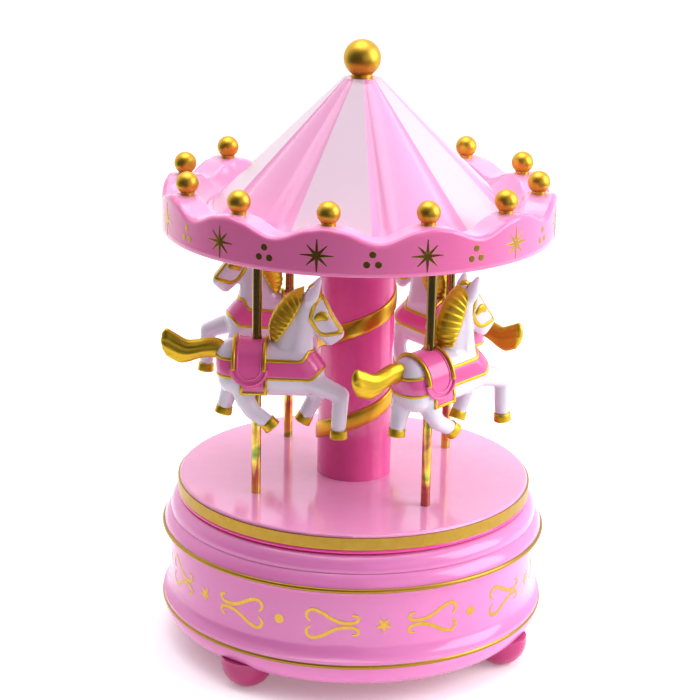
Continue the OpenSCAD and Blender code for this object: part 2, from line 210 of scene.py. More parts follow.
# %% Groups: resting dust, and rubbed edges
dust, gi, go = new_group("resting_dust", [("Vector", V, None), ("Amount", F, 0.1)], [("Mask", F)])
geo = shader_node(dust, "ShaderNodeNewGeometry")
parts_xyz = shader_node(dust, "ShaderNodeSeparateXYZ")
facing = shader_node(dust, "ShaderNodeMapRange", From_Min=0.55, From_Max=1.0)
patch = shader_node(dust, "ShaderNodeTexNoise", Scale=230.0, Detail=6.0, Roughness=0.7)
patchy = shader_node(dust, "ShaderNodeMapRange", From_Min=0.42, From_Max=0.7)
both = shader_node(dust, "ShaderNodeMath", {"operation": "MULTIPLY"})
dosed = shader_node(dust, "ShaderNodeMath", {"operation": "MULTIPLY"})
dust.links.new(geo.outputs["Normal"], parts_xyz.inputs[0])
dust.links.new(parts_xyz.outputs["Z"], facing.inputs["Value"])
dust.links.new(gi.outputs["Vector"], patch.inputs["Vector"])
dust.links.new(patch.outputs["Fac"], patchy.inputs["Value"])
dust.links.new(facing.outputs[0], both.inputs[0])
dust.links.new(patchy.outputs[0], both.inputs[1])
dust.links.new(both.outputs[0], dosed.inputs[0])
dust.links.new(gi.outputs["Amount"], dosed.inputs[1])
dust.links.new(dosed.outputs[0], go.inputs["Mask"])

rub, gi, go = new_group("rubbed_edges", [("Vector", V, None), ("Amount", F, 0.4)], [("Mask", F)])
geo = shader_node(rub, "ShaderNodeNewGeometry")
ridge = shader_node(rub, "ShaderNodeMapRange", From_Min=0.53, From_Max=0.66)
broken = shader_node(rub, "ShaderNodeTexNoise", Scale=420.0, Detail=4.0)
both = shader_node(rub, "ShaderNodeMath", {"operation": "MULTIPLY"})
dosed = shader_node(rub, "ShaderNodeMath", {"operation": "MULTIPLY"})
rub.links.new(geo.outputs["Pointiness"], ridge.inputs["Value"])
rub.links.new(gi.outputs["Vector"], broken.inputs["Vector"])
rub.links.new(ridge.outputs[0], both.inputs[0])
rub.links.new(broken.outputs["Fac"], both.inputs[1])
rub.links.new(both.outputs[0], dosed.inputs[0])
rub.links.new(gi.outputs["Amount"], dosed.inputs[1])
rub.links.new(dosed.outputs[0], go.inputs["Mask"])
print("groups", dust.name, "and", rub.name)

# %% [markdown]
# Turned, rolled and drawn metal carries fine lines along the way it was worked. A noise squeezed
# hard along two directions gives such lines; the group has a stretch input so that rods, plates
# and balls can each have their own.

# %% Group: worked metal lines
lines, gi, go = new_group("worked_lines",
    [("Vector", V, None), ("Stretch", V, (1.0, 1.0, 30.0)), ("Scale", F, 300.0),
     ("Base Roughness", F, 0.25), ("Spread", F, 0.12)], [("Lines", F), ("Roughness", F)])
squeeze = shader_node(lines, "ShaderNodeVectorMath", {"operation": "MULTIPLY"})
grain = shader_node(lines, "ShaderNodeTexNoise", Detail=4.0, Roughness=0.65)
off = shader_node(lines, "ShaderNodeMath", {"operation": "SUBTRACT"}); off.inputs[1].default_value = 0.5
wander = shader_node(lines, "ShaderNodeMath", {"operation": "MULTIPLY_ADD"})
lines.links.new(gi.outputs["Vector"], squeeze.inputs[0])
lines.links.new(gi.outputs["Stretch"], squeeze.inputs[1])
lines.links.new(squeeze.outputs[0], grain.inputs["Vector"])
lines.links.new(gi.outputs["Scale"], grain.inputs["Scale"])
lines.links.new(grain.outputs["Fac"], off.inputs[0])
lines.links.new(off.outputs[0], wander.inputs[0])
lines.links.new(gi.outputs["Spread"], wander.inputs[1])
lines.links.new(gi.outputs["Base Roughness"], wander.inputs[2])
lines.links.new(grain.outputs["Fac"], go.inputs["Lines"])
lines.links.new(wander.outputs[0], go.inputs["Roughness"])
print("group", lines.name)

# %% [markdown]
# The glossy plastics differ only in colour and in how much they scatter, so one recipe makes them
# all: two close shades mixed by the flow marks, a trace of dust, a lighter tone on rubbed edges,
# a hard clear surface and a very fine bump. A little light goes into such plastic before it comes
# back, which the subsurface weight stands for.

# %% Recipe for glossy plastics
def linear(r, g, b):
    def one(c):
        c /= 255
        return c / 12.92 if c <= 0.04045 else ((c + 0.055) / 1.055) ** 2.4
    return (one(r), one(g), one(b), 1.0)

def fresh(name):
    mat = bpy.data.materials.new(name)
    mat.use_nodes = True
    return mat, mat.node_tree, mat.node_tree.nodes["Principled BSDF"]

def place(tree, group, **values):
    g = tree.nodes.new("ShaderNodeGroup")
    g.node_tree = group
    for key, value in values.items():
        g.inputs[key.replace("_", " ")].default_value = value
    return g

def mix_colours(tree, a, b, factor):
    """A colour mix; a and b are colours or output sockets, factor is an output socket."""
    m = tree.nodes.new("ShaderNodeMix")
    m.data_type = "RGBA"
    for value, index in ((a, 6), (b, 7)):
        if isinstance(value, tuple):
            m.inputs[index].default_value = value
        else:
            tree.links.new(value, m.inputs[index])
    tree.links.new(factor, m.inputs[0])
    return m.outputs[2]

def add_bump(tree, shader, height, strength, distance):
    bump = shader_node(tree, "ShaderNodeBump", Strength=strength, Distance=distance)
    tree.links.new(height, bump.inputs["Height"])
    tree.links.new(bump.outputs["Normal"], shader.inputs["Normal"])
    return bump

def plastic(name, tone, shade, roughness=0.16, scatter=0.12, dusty=0.06, bump=0.05, scale=30.0):
    mat, tree, shader = fresh(name)
    where = tree.nodes.new("ShaderNodeTexCoord").outputs["Object"]
    marks = place(tree, flow, Scale=scale, Base_Roughness=roughness, Spread=0.07)
    lying = place(tree, dust, Amount=dusty)
    worn = place(tree, rub, Amount=0.35)
    for g in (marks, lying, worn):
        tree.links.new(where, g.inputs["Vector"])
    body = mix_colours(tree, linear(*tone), linear(*shade), marks.outputs["Mottle"])
    pale = tuple(min(1.0, c * 1.25 + 0.05) for c in linear(*tone)[:3]) + (1.0,)
    edge = mix_colours(tree, body, pale, worn.outputs["Mask"])
    final = mix_colours(tree, edge, linear(235, 228, 232), lying.outputs["Mask"])
    tree.links.new(final, shader.inputs["Base Color"])
    tree.links.new(marks.outputs["Roughness"], shader.inputs["Roughness"])
    shader.inputs["IOR"].default_value = 1.5
    shader.inputs["Subsurface Weight"].default_value = scatter
    shader.inputs["Subsurface Radius"].default_value = (0.0022, 0.0010, 0.0016)
    shader.inputs["Subsurface Scale"].default_value = 1.0
    shader.inputs["Coat Weight"].default_value = 0.35
    shader.inputs["Coat Roughness"].default_value = 0.06
    add_bump(tree, shader, marks.outputs["Height"], bump, 0.0001)
    return mat

candy = plastic("candy_pink_plastic", (248, 136, 192), (242, 124, 184))
# A paler copy of the canopy's own pink, for the pink gores and all faces from the crest inward: painted
# light, the lit look of the upper faces of a moulding that is all one plastic.
pink_lit_copy = plastic("canopy_pink_painted_light", (244, 172, 214), (240, 162, 208))
base_pink = plastic("base_pink_plastic", (236, 146, 202), (228, 130, 194))
deck_pink = plastic("deck_pink_plastic", (247, 170, 214), (241, 158, 206), roughness=0.12)
column_pink = plastic("column_pink_plastic", (238, 96, 168), (232, 84, 158))
# Bright pink for the lip under the deck band: painted light, the pink glow in that crevice.
glow_pink = plastic("painted_crevice_glow", (255, 84, 172), (250, 74, 164))
foot_pink = plastic("foot_pink_plastic", (196, 56, 126), (186, 48, 118))
roof_white = plastic("roof_white_plastic", (222, 198, 214), (216, 188, 206), roughness=0.3)
ceiling_white = plastic("ceiling_white_plastic", (236, 214, 230), (228, 202, 222), roughness=0.3)
print("plastics:", [m.name for m in bpy.data.materials])
# %% [markdown]
# The gold pieces are three different things. The balls are plastic that was metallised in a
# vacuum, so they are satin and a little uneven. The bands, ribbon and printed ornaments are hot
# foil, thinner and rougher. The rods are steel with a yellow zinc plating, whose chromate film
# shifts from green to rose where it is thin.

# %% Recipe for metals
def metal(name, tone, shade, roughness, spread=0.12, scale=260.0, stretch=(1, 1, 1), bump=0.04, dusty=0.0):
    mat, tree, shader = fresh(name)
    where = tree.nodes.new("ShaderNodeTexCoord").outputs["Object"]
    grain = place(tree, lines, Scale=scale, Base_Roughness=roughness, Spread=spread)
    grain.inputs["Stretch"].default_value = stretch
    worn = place(tree, rub, Amount=0.5)
    tree.links.new(where, grain.inputs["Vector"])
    tree.links.new(where, worn.inputs["Vector"])
    body = mix_colours(tree, linear(*tone), linear(*shade), grain.outputs["Lines"])
    bright = tuple(min(1.0, c * 1.3 + 0.04) for c in linear(*tone)[:3]) + (1.0,)
    edge = mix_colours(tree, body, bright, worn.outputs["Mask"])
    if dusty:
        lying = place(tree, dust, Amount=dusty)
        tree.links.new(where, lying.inputs["Vector"])
        edge = mix_colours(tree, edge, linear(225, 215, 205), lying.outputs["Mask"])
    tree.links.new(edge, shader.inputs["Base Color"])
    tree.links.new(grain.outputs["Roughness"], shader.inputs["Roughness"])
    shader.inputs["Metallic"].default_value = 1.0
    add_bump(tree, shader, grain.outputs["Lines"], bump, 0.00008)
    return mat

satin_gold = metal("satin_metallised_gold", (220, 182, 74), (204, 160, 58), 0.4, 0.1, 900.0, bump=0.12)
foil_gold = metal("stamped_foil_gold", (180, 148, 66), (166, 130, 50), 0.34, 0.18, 500.0, bump=0.1)
printed_gold = metal("printed_foil_gold", (206, 170, 84), (190, 150, 70), 0.22, 0.14, 700.0, bump=0.08)
ribbon_gold = metal("ribbon_foil_gold", (218, 174, 66), (200, 146, 46), 0.3, 0.08, 120.0, bump=0.03)
brass = metal("movement_brass", (206, 172, 98), (180, 144, 76), 0.28, 0.2, 300.0, (1, 14, 1), 0.08)
steel = metal("movement_steel", (196, 198, 202), (164, 166, 172), 0.26, 0.2, 300.0, (1, 1, 12), 0.08)
blued = metal("blued_spring_steel", (70, 78, 110), (46, 50, 76), 0.3, 0.15, 300.0, (1, 1, 16), 0.05)
def is_metal(material):
    return material.node_tree.nodes["Principled BSDF"].inputs["Metallic"].default_value == 1.0

print("metals:", [m.name for m in bpy.data.materials if is_metal(m)])

# %% [markdown]
# The plated rod gets its own material: the plating colour follows a slow noise along the rod from
# brass yellow through green to rose, and the lower part, below the horses, shows more of it.

# %% Plated rods
rod, tree, shader = fresh("yellow_zinc_rod")
where = tree.nodes.new("ShaderNodeTexCoord").outputs["Object"]
slow = shader_node(tree, "ShaderNodeTexNoise", Scale=95.0, Detail=2.0, Distortion=0.8)
film = tree.nodes.new("ShaderNodeValToRGB")
film.color_ramp.elements[0].position = 0.34
film.color_ramp.elements[0].color = linear(116, 150, 66)
film.color_ramp.elements[1].position = 0.66
film.color_ramp.elements[1].color = linear(186, 112, 104)
for position, tone in ((0.45, (226, 206, 96)), (0.56, (214, 168, 84))):
    step = film.color_ramp.elements.new(position)
    step.color = linear(*tone)
height = shader_node(tree, "ShaderNodeSeparateXYZ")
low = shader_node(tree, "ShaderNodeMapRange", From_Min=0.082, From_Max=0.074, To_Min=0.12, To_Max=0.85)
drawn = place(tree, lines, Scale=500.0, Base_Roughness=0.17, Spread=0.12)
drawn.inputs["Stretch"].default_value = (12, 12, 0.4)
for socket in (slow.inputs["Vector"], height.inputs[0], drawn.inputs["Vector"]):
    tree.links.new(where, socket)
tree.links.new(slow.outputs["Fac"], film.inputs["Fac"])
tree.links.new(height.outputs["Z"], low.inputs["Value"])
plated = mix_colours(tree, linear(176, 150, 96), film.outputs["Color"], low.outputs[0])
tree.links.new(plated, shader.inputs["Base Color"])
tree.links.new(drawn.outputs["Roughness"], shader.inputs["Roughness"])
shader.inputs["Metallic"].default_value = 1.0
add_bump(tree, shader, drawn.outputs["Lines"], 0.06, 0.00005)
print("material", rod.name)

# %% [markdown]
# The horses are white moulded plastic with gold and pink put on by brush. White has a cool
# lavender cast in places; the mask for it is a broad noise. The paints are a little thicker
# and softer than the plastic, so they are rougher and have their own small brush marks.

# %% Horse plastic and paints
horse_white = plastic("horse_white_plastic", (236, 230, 240), (224, 214, 234), roughness=0.14,
    scatter=0.15, dusty=0.0, scale=60.0)
tack_pink = plastic("tack_pink_paint", (238, 112, 176), (232, 96, 166), roughness=0.2, scatter=0.05,
    dusty=0.0, bump=0.12, scale=120.0)
paint_gold = metal("brushed_gold_paint", (222, 190, 66), (196, 158, 44), 0.42, 0.2, 600.0, (1, 1, 4), 0.18)
print("horse finishes ready")

# %% [markdown]
# ## Solids that keep their engineering shape
# Turned and moulded solids are already exact, so they stay as they are and only get their finish:
# the drum shell, plates, deck, column, balls, rods and the whole movement.

# %% Finishes on the kept solids
FINISH = {
    "base_shell": base_pink, "bottom_plate": foot_pink, "deck": deck_pink,
    "centre_column": column_pink, "canopy_ceiling": ceiling_white,
    "upper_trim_ring": foil_gold, "lower_trim_ring": foil_gold, "deck_rim_band": foil_gold,
    "finial_ball": satin_gold, "mainspring": blued,
}
for k in range(1, 5):
    FINISH["foot_%d" % k] = foot_pink
    FINISH["pole_%d" % k] = rod
for k in range(1, 13):
    FINISH["rim_ball_%d" % k] = satin_gold
for name in ("movement_bedplate", "movement_bracket", "shaft_bush", "drive_hub", "spring_barrel",
             "music_cylinder", "cylinder_gear", "governor_fan"):
    FINISH[name] = brass
for name in ("bottom_screws", "movement_screws", "comb", "winding_key", "key_arbor", "deck_screws",
             "drive_shaft", "tie_rod", "cylinder_arbor", "governor_arbor"):
    FINISH[name] = steel
for name, finish in FINISH.items():
    mesh = nodes[name].data
    mesh.materials.clear()
    mesh.materials.append(finish)
print("finished", len(FINISH), "of", len(nodes), "CAD nodes")

# %% [markdown]
# ## Canopy
# The canopy is one moulding: a deep valance, a rim whose top edge waves up to each ball and down
# between them, a narrow trough, and a peaked roof of ten panels. The white panels are flat, the
# pink ones swell a little between two creases. It is made as a net: a closed section is carried
# round the axis, and at each angle the rim points drop by the wave and the roof points move in or
# out by the panel. The creases are crisp because extra columns are put right at them.

# %% Wave and panels
SCALLOP = 3.2 * MM
WHITE_FROM, WHITE_WIDTH, PANEL_PITCH = -26.4, 31.4, 72.0

def wave(angle):
    d = abs((angle - RIM_PHASE + 15) % 30 - 15)
    t = min(1.0, max(0.0, (d - 3.2) / 11.8))
    rise = 0.5 * MM * math.exp(-(d / 2.6) ** 4)
    return (0.5 - 0.5 * math.cos(math.pi * t)) * SCALLOP - rise

def panel(angle):
    """(white?, how far across the panel, half the panel's angle)."""
    a = (angle - WHITE_FROM) % PANEL_PITCH
    if a < WHITE_WIDTH:
        return True, a / WHITE_WIDTH, WHITE_WIDTH / 2
    return False, (a - WHITE_WIDTH) / (PANEL_PITCH - WHITE_WIDTH), (PANEL_PITCH - WHITE_WIDTH) / 2

def roof_factor(angle):
    white, across, half = panel(angle)
    off = (2 * across - 1) * half
    if white:
        return math.cos(math.radians(half)) / math.cos(math.radians(off)) * 0.998 + 0.002
    from_edge = min(across, 1 - across)
    swell = math.sin(math.pi * across) ** 1.3
    groove = math.exp(-((from_edge - 0.1) / 0.075) ** 2) * min(1.0, from_edge / 0.03)
    return 1 + 0.034 * swell - 0.03 * groove

print("wave at a ball %.2f, between balls %.2f mm" % (wave(RIM_PHASE) / MM, wave(RIM_PHASE + 15) / MM))

# %% [markdown]
# The section lists its points as radius, height, how much of the wave they follow and how much of
# the panel shape. Rounded corners are short runs of points.

# %% Section of the canopy
def corner(r, z, radius, a0, a1, steps, follow):
    out = []
    for i in range(steps + 1):
        a = math.radians(a0 + (a1 - a0) * i / steps)
        out.append((r + radius * math.cos(a), z + radius * math.sin(a), follow, 0.0))
    return out

def canopy_section():
    R, low, top = CANOPY_R / MM, CANOPY_LOW / MM, CREST / MM
    s = [(R - 1.8, low + 0.3, 0, 0), (R - 1.5, low, 0, 0), (R - 0.3, low, 0, 0), (R, low + 0.3, 0, 0)]
    s += [(R, low + 1.7 * i, 0, 0) for i in range(1, 4)]
    s += [(R, low + 7.2, 0.12, 0), (R, low + 9.2, 0.6, 0), (R, top - 1.9, 0.95, 0)]
    s += corner(R - 1.3, top - 1.3, 1.3, 0, 90, 6, 1.0)
    s += [(R - 3.4, top + 0.02, 1, 0), (R - 5.4, top, 1, 0)]
    s += corner(R - 7.6, top - 1.5, 1.5, 90, 155, 5, 1.0)
    s += [(R - 9.8, top - 2.5, 0.75, 0), (R - 11.1, top - 4.6, 0.35, 0), (R - 12.3, top - 6.3, 0.08, 0)]
    s += [(43.4, 131.3, 0, 0.0), (42.6, 131.75, 0, 0.55)]
    for i in range(15):
        r = 42.0 + (5.3 - 42.0) * i / 14
        s.append((r, APEX / MM - r, 0, 1.0))
    s += [(4.8, 169.25, 0, 0.3), (1.7, 169.25, 0, 0), (1.7, 166.4, 0, 0), (5.4, 166.4, 0, 0)]
    s += [(42.4, 129.25, 0, 0), (45.0, 129.25, 0, 0), (46.9, 133.1, 0, 0), (R - 1.8, 133.1, 0, 0)]
    return s

section = canopy_section()
angles = {round(i * 1.25, 4) for i in range(288)}
for k in range(5):
    for edge in (WHITE_FROM, WHITE_FROM + WHITE_WIDTH):
        for step in (-0.5, -0.01, 0.01, 0.5):
            angles.add(round((edge + k * PANEL_PITCH + step) % 360, 4))
angles = sorted(angles)
print("section of", len(section), "points at", len(angles), "angles")

# %% Canopy net
columns = []
for a in angles:
    drop, f = wave(a), roof_factor(a)
    column = []
    for r, z, follow, panelled in section:
        rr = r * (1 + (f - 1) * panelled)
        column.append(ring_point(rr * MM, a, z * MM - drop * follow))
    columns.append(column)
verts, faces = net(columns, close_rows=True, close_cols=True)
first = next(i for i, p in enumerate(section) if p[3] == 1.0)
last = max(i for i, p in enumerate(section) if p[3] == 1.0)
crest_row = next(i for i, p in enumerate(section) if p[1] >= CREST / MM)
width = len(section)

# Valance faces take the canopy pink and white gores the white finish; the pink gores and all faces from the
# crest inward take the paler copy of the same pink, which is painted light.
def canopy_finish(face):
    ids = [v % width for v in face.vertices]
    if min(ids) >= first - 1 and max(ids) <= last + 1:
        around = [angles[v // width] for v in face.vertices]
        middle = sum(around) / 4
        if max(around) - min(around) >= 180:
            middle = 0.5 * (max(around) + min(around) + 360)
        return 1 if panel(middle)[0] else 2
    return 2 if min(ids) >= crest_row else 0

canopy = mesh_object("canopy_moulding", verts, faces, [candy, roof_white, pink_lit_copy], pick=canopy_finish)
park(canopy, "turntable", "pink_plastic", "canopy")

# %% [markdown]
# ## Stamped ornaments
# The ornaments on the valance and drum are hot foil: almost no thickness, a crisp edge. Each is a
# thin solid bent round the wall, made from strokes. A stroke is a run of points with a width at
# each; a helper lays it on the wall, with a top face, two sides and two ends.

# %% Strokes on a round wall
FOIL = 0.05 * MM

def on_wall(radius, angle0, u, v, lift):
    return ring_point(radius + lift, angle0 + math.degrees(u / radius), v)

STROKE_SECTION = [(1, -FOIL), (1, FOIL * 0.7), (0.8, FOIL), (-0.8, FOIL), (-1, FOIL * 0.7), (-1, -FOIL)]

def stroke(radius, angle0, z0, path, widths):
    """A ribbon along path, a list of (u, v) in metres on the wall, standing FOIL proud of it."""
    rows = []
    for i, (u, v) in enumerate(path):
        a, b = path[max(i - 1, 0)], path[min(i + 1, len(path) - 1)]
        du, dv = b[0] - a[0], b[1] - a[1]
        length = math.hypot(du, dv) or 1.0
        nu, nv = -dv / length, du / length
        w = widths[i] / 2
        rows.append([on_wall(radius, angle0, u + nu * w * s, z0 + v + nv * w * s, lift)
            for s, lift in STROKE_SECTION])
    return net(rows, close_cols=True, caps=True)

def disc(radius, angle0, z0, u0, v0, size, sides=20):
    rings = [(1.0, -FOIL), (1.0, FOIL * 0.7), (0.85, FOIL), (0.4, FOIL)]
    rows = []
    for share, lift in rings:
        rows.append([on_wall(radius, angle0, u0 + size * share * math.cos(2 * math.pi * i / sides),
            z0 + v0 + size * share * math.sin(2 * math.pi * i / sides), lift) for i in range(sides)])
    return net(rows, close_cols=True, caps=True)

print("foil stands %.2f mm proud" % (FOIL / MM))

# %% [markdown]
# The valance has a star of eight thin rays a little to one side of each ball, and three dots in
# between. A ray is a stroke that tapers to nothing.

# %% Valance foil
parts = []
for k in range(12):
    star = 18.9 + 30 * k
    for ray in range(8):
        a = math.radians(45 * ray)
        reach = (4.5 if ray % 2 == 0 else 3.9) * MM
        path = [(math.cos(a) * reach * t, math.sin(a) * reach * t) for t in np.linspace(0.0, 1.0, 8)]
        widths = [(0.75 * (1 - t) + 0.3) * MM for t in np.linspace(0.0, 1.0, 8)]
        parts.append((*stroke(CANOPY_R, star, 131.3 * MM, path, widths), 0))
    parts.append((*disc(CANOPY_R + 0.02 * MM, star, 131.3 * MM, 0, 0, 0.95 * MM), 0))
    dots = 3.9 + 30 * k
    for u, v in ((0, 1.5), (-1.55, -1.25), (1.55, -1.25)):
        parts.append((*disc(CANOPY_R, dots, 130.6 * MM, u * MM, v * MM, 0.92 * MM), 0))
verts, faces, _ = several(parts)
valance_foil = mesh_object("valance_foil", verts, faces, [printed_gold], smooth=False)
park(valance_foil, "turntable", "foil_gold")

# %% [markdown]
# On the drum, six times round, stand a five-pointed star, a scroll heart lying on its side, a dot
# and the same heart the other way. The heart is one smooth curve drawn through a few points and
# mirrored; it thins out towards both curled ends.

# %% Smooth curve through points
def smooth_path(points, per=7):
    pts = [points[0]] + list(points) + [points[-1]]
    out = []
    for i in range(1, len(pts) - 2):
        p0, p1, p2, p3 = pts[i - 1], pts[i], pts[i + 1], pts[i + 2]
        for s in range(per):
            t = s / per
            out.append(tuple(0.5 * ((2 * b) + (-a + c) * t + (2 * a - 5 * b + 4 * c - d) * t * t
                + (-a + 3 * b - 3 * c + d) * t ** 3) for a, b, c, d in zip(p0, p1, p2, p3)))
    out.append(tuple(points[-1]))
    return out

# %% Drum foil
SCROLL = [(-6.1, 0.75), (-7.0, 1.7), (-7.2, 2.9), (-6.4, 3.95), (-5.0, 4.25), (-2.6, 3.35), (0.1, 1.75),
    (2.7, 0.8), (5.0, 0.66), (6.7, 1.0), (7.45, 1.9), (6.9, 2.85), (5.6, 2.95)]
SCROLL_Z = 24.9 * MM
parts = []
for k in range(6):
    for middle, flip in ((25.3, -1), (-5.4, 1)):
        for mirror in (1, -1):
            path = [(flip * u * MM, mirror * v * MM) for u, v in smooth_path(SCROLL)]
            n = len(path)
            swell = [math.sin(math.pi * min(1, max(0, i / (n - 1)))) ** 0.5 for i in range(n)]
            widths = [(0.45 + 0.65 * w) * MM for w in swell]
            parts.append((*stroke(DRUM_R, middle + 60 * k, SCROLL_Z, path, widths), 0))
    parts.append((*disc(DRUM_R, 38.5 + 60 * k, SCROLL_Z, 0, 0, 1.4 * MM), 0))
    star = 9.9 + 60 * k
    for ray in range(5):
        a = math.radians(-90 + 72 * ray)
        path = [(math.cos(a) * 2.5 * MM * t, math.sin(a) * 2.5 * MM * t) for t in np.linspace(0.0, 1.0, 6)]
        widths = [(1.75 * (1 - t) + 0.12) * MM for t in np.linspace(0.0, 1.0, 6)]
        parts.append((*stroke(DRUM_R, star, SCROLL_Z, path, widths), 0))
verts, faces, _ = several(parts)
drum_foil = mesh_object("drum_foil", verts, faces, [printed_gold], smooth=False)
park(drum_foil, "base", "foil_gold")

# %% [markdown]
# ## Ribbon on the column
# A gold ribbon winds up the column like the stripe of a barber's pole. It is moulded on, so it is
# a low band with rounded edges; its section is carried along the helix. Where it meets the deck
# it is cut off level, so no point goes below the deck's top.

# %% Ribbon net
RIBBON_PITCH, RIBBON_AT_FRONT = 28 * MM, 70.3 * MM
RIBBON_FROM, RIBBON_TO = -246, 540
ribbon_low = size_of("column_ribbon")[1][2]
profile = [(-2.6, -0.12), (-2.6, 0.2), (-2.48, 0.42), (-2.2, 0.54), (-1.1, 0.6), (0.0, 0.62),
    (1.1, 0.6), (2.2, 0.54), (2.48, 0.42), (2.6, 0.2), (2.6, -0.12)]
rows = []
for i in range(263):
    a = RIBBON_FROM + (RIBBON_TO - RIBBON_FROM) * i / 262
    middle = RIBBON_AT_FRONT + RIBBON_PITCH * a / 360
    rows.append([ring_point(COLUMN_R + lift * MM, a, max(ribbon_low, middle + up * MM))
        for up, lift in profile])
verts, faces = net(rows, close_cols=True, caps=True)
ribbon = mesh_object("ribbon_band", verts, faces, [ribbon_gold])
park(ribbon, "turntable", "foil_gold", "column_ribbon")

# %% [markdown]
# ## Lip under the deck, a painted glow
# A narrow line of deeper pink shows just below the deck's gold band: pink light glowing in the
# crevice there. It is painted light, made as a rounded lip in bright pink that hangs clear of the
# base's shoulder, so the deck still turns. It is here for its looks only: the engineering model has
# no such solid.

# %% Deck lip
lip_low, lip_r, lip_round = 45.4, 52.4, 0.35
band_low = size_of("deck_rim_band")[1][2] / MM
outline = [(50.7, band_low + 0.05), (50.7, lip_low + 0.5), (51.3, lip_low), (lip_r - lip_round, lip_low)]
for a in (30, 60, 90):
    s, c = math.sin(math.radians(a)), math.cos(math.radians(a))
    outline.append((lip_r - lip_round + lip_round * s, lip_low + lip_round - lip_round * c))
outline.append((lip_r, band_low - 0.02))
rings = [[ring_point(r * MM, a, z * MM) for r, z in outline] for a in range(0, 360, 2)]
verts, faces = net(rings, close_rows=True, close_cols=True)
# A bright pink solid that paints the glow in the crevice under the deck band.
lip = mesh_object("painted_glow_lip", verts, faces, [glow_pink])
park(lip, "turntable", "pink_plastic")

# %% [markdown]
# ## Horses
# All four horses come from one mould. The horse is laid out in its own plane first, walking
# towards +X with its pole at X = 0, in millimetres. The white body is built from rounded limbs that
# are melted together by a voxel remesh and then smoothed, as a sculptor would blend clay.

# %% Limbs of the horse
def hull_of(balls):
    """Convex skin round balls given as (x, y, z, radius)."""
    bm = bmesh.new()
    for x, y, z, r in balls:
        place_ball = Matrix.Translation((x, y, z)) @ Matrix.Scale(r, 4)
        bmesh.ops.create_icosphere(bm, subdivisions=3, radius=1.0, matrix=place_ball)
    skin = bmesh.ops.convex_hull(bm, input=bm.verts)
    inner = {g for g in skin["geom_interior"] + skin["geom_unused"] if isinstance(g, bmesh.types.BMVert)}
    bmesh.ops.delete(bm, geom=list(inner), context="VERTS")
    bm.verts.index_update()
    verts = [v.co.copy() for v in bm.verts]
    faces = [tuple(v.index for v in f.verts) for f in bm.faces]
    bm.free()
    return verts, faces

def chain(*balls):
    return [hull_of(balls[i:i + 2]) for i in range(len(balls) - 1)]

limbs = [hull_of([(-6.0, s * 0.8, 90.1, 5.6) for s in (-1, 1)] + [(-6.2, s * 1.4, 86.3, 4.9) for s in (-1, 1)]
    + [(13.8, s * 1.4, 86.6, 5.0) for s in (-1, 1)] + [(14.4, s * 1.2, 88.4, 5.3) for s in (-1, 1)]
    + [(12.0, s * 0.8, 91.2, 5.5) for s in (-1, 1)] + [(-6.4, s * 0.8, 92.2, 5.2) for s in (-1, 1)])]
limbs += chain((11.3, 0, 92.6, 5.2), (12.0, 0, 97.5, 4.3), (12.6, 0, 102.5, 3.6), (13.8, 0, 107.6, 3.1))
neck_base = [(6.9, 0, 93.0, 4.4), (8.3, 0, 98.2, 3.5), (10.6, 0, 103.6, 3.2)]
limbs.append(hull_of(neck_base + [(12.6, 0, 102.5, 3.4), (12.0, 0, 96.0, 4.4)]))
cheek = [(14.9, 0, 108.9, 2.9), (18.2, 0, 106.4, 2.7), (17.6, 0, 109.6, 1.6), (15.8, 0, 104.0, 2.4)]
muzzle = [(18.2, 0, 106.0, 2.7), (22.8, 0, 100.0, 2.05), (20.7, 0, 98.3, 2.0), (16.4, 0, 103.2, 2.3)]
limbs += [hull_of(cheek), hull_of(muzzle)]
for s in (-1, 1):
    limbs += chain((15.2, s * 1.9, 110.2, 2.1), (16.2, s * 2.4, 112.4, 1.75), (17.6, s * 2.8, 115.0, 0.7))
limbs += chain((15.2, -3.2, 86.6, 3.4), (19.6, -3.5, 84.9, 3.0), (24.4, -3.7, 82.9, 2.45),
    (23.9, -3.7, 73.4, 2.2))
limbs += chain((15.2, 3.2, 86.2, 3.3), (16.6, 3.6, 79.6, 2.45), (13.9, 3.7, 74.2, 2.2))
limbs += chain((-4.2, -3.1, 86.0, 3.6), (-2.9, -3.6, 80.6, 2.8), (-1.0, -3.7, 77.2, 2.4),
    (3.2, -3.7, 74.2, 2.2))
limbs += chain((-6.6, 3.1, 86.2, 3.6), (-8.6, 3.6, 79.6, 2.5), (-9.6, 3.7, 76.2, 2.2))
for s in (-1, 1):
    limbs.append(hull_of([(-6.3, s * 2.2, 90.0, 4.3), (-6.0, s * 2.0, 88.2, 4.4)]))
    limbs.append(hull_of([(13.6, s * 2.0, 88.6, 4.3), (14.6, s * 1.6, 90.4, 3.9)]))
print("limbs:", len(limbs))

# %% Melt the limbs together
def baked(obj):
    """Applies the modifiers of obj and gives back its mesh."""
    bpy.context.view_layer.update()
    done = obj.evaluated_get(bpy.context.evaluated_depsgraph_get())
    mesh = bpy.data.meshes.new_from_object(done)
    obj.modifiers.clear()
    return mesh

verts, faces, _ = several([(v, f, 0) for v, f in limbs])
clay = mesh_object("clay", verts, faces, [])
melt = clay.modifiers.new("melt", "REMESH")
melt.mode, melt.voxel_size = "VOXEL", 0.42
ease = clay.modifiers.new("ease", "SMOOTH")
ease.factor, ease.iterations = 0.5, 7
melted = baked(clay)
bpy.data.objects.remove(clay)
body_verts = [v.co.copy() for v in melted.vertices]
body_faces = [tuple(f.vertices) for f in melted.polygons]
body_tree = BVHTree.FromPolygons(body_verts, body_faces)
print("horse body:", len(body_verts), "points")

# %% [markdown]
# The mane is a relief that falls from the crest of the neck to both sides in overlapping locks.
# Each lock rises slowly and then drops, like a saw tooth; the crest is a smooth arc.

